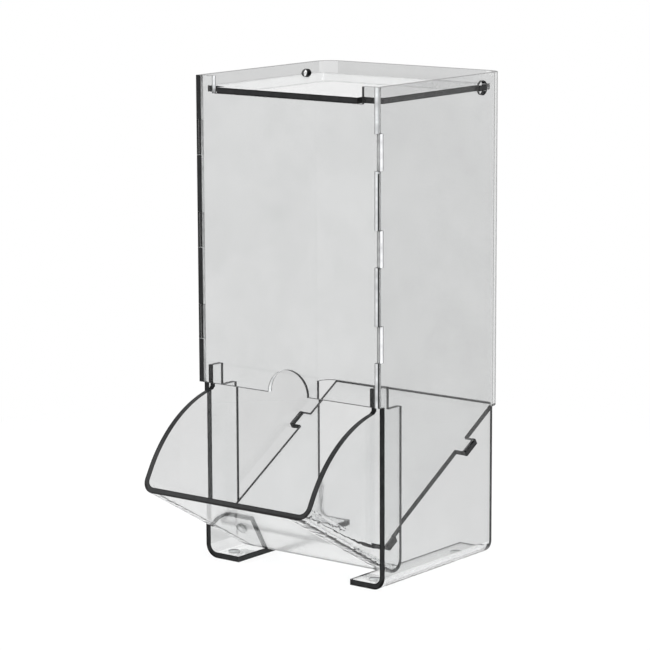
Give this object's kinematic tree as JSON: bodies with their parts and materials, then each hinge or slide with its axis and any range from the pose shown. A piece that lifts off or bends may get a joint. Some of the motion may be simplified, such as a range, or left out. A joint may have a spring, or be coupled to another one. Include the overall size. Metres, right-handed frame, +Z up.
{
  "type": "candy bin with scoop lid",
  "caption": "Tall clear acrylic bin with a hinged flap lid on top, feet at the sides, and a sloping ramp that feeds a curved scoop tray at the front.",
  "frame": {"origin": "centre of the four foot holes, on the floor under the feet", "axes": "+Z up, +Y towards the back panel, so the tray reaches towards -Y, and +X to the right seen from the front"},
  "size_m": [0.116, 0.1585, 0.25],
  "materials": {
    "acrylic": "clear cast acrylic, polished faces"
  },
  "bodies": {
    "bin": {"body_wrap": "acrylic", "front_panel": "acrylic", "scoop_tray": "acrylic", "ramp": "acrylic"},
    "lid": {"lid": "acrylic"}
  },
  "joints": [
    {"name": "lid_hinge", "type": "hinge", "parent": "bin", "child": "lid", "pos_m": [0, 0.041, 0.243], "axis": [-1, 0, 0], "range_deg": [0, 145]}
  ]
}
